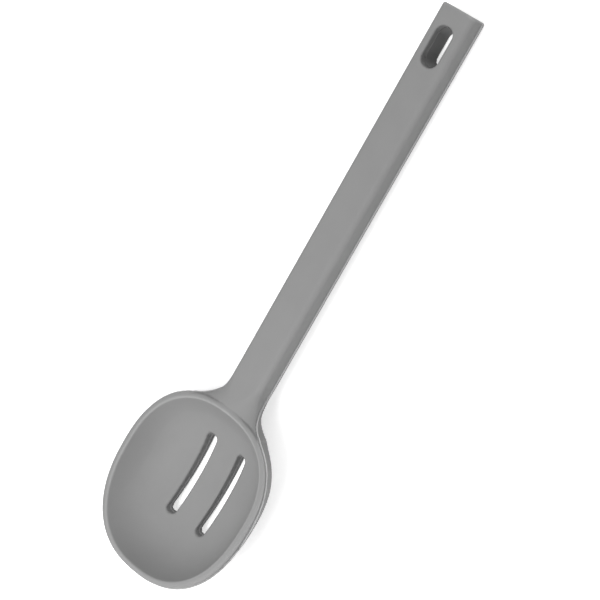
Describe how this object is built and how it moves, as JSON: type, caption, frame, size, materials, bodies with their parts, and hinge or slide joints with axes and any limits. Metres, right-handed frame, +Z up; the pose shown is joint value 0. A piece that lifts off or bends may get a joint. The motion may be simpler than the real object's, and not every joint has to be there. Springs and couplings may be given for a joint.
{
  "type": "slotted cooking spoon",
  "caption": "Slotted cooking spoon: a dished rounded bowl on a straight rounded handle with a hanging hole, silicone moulded over a rigid core.",
  "frame": {"origin": "on the table under the middle of the spoon's box, as the spoon lies at rest", "axes": "+X from the bowl's tip to the handle's end, +Z up, the way the bowl opens; the handle slopes down 2.2 degrees towards its end"},
  "size_m": [0.2896, 0.0818, 0.0282],
  "materials": {
    "silicone_front": "matte",
    "silicone_back": "matte",
    "nylon_core": "matte"
  },
  "bodies": {
    "root": {"front_skin": "silicone_front", "back_skin": "silicone_back", "core": "nylon_core"}
  },
  "joints": []
}
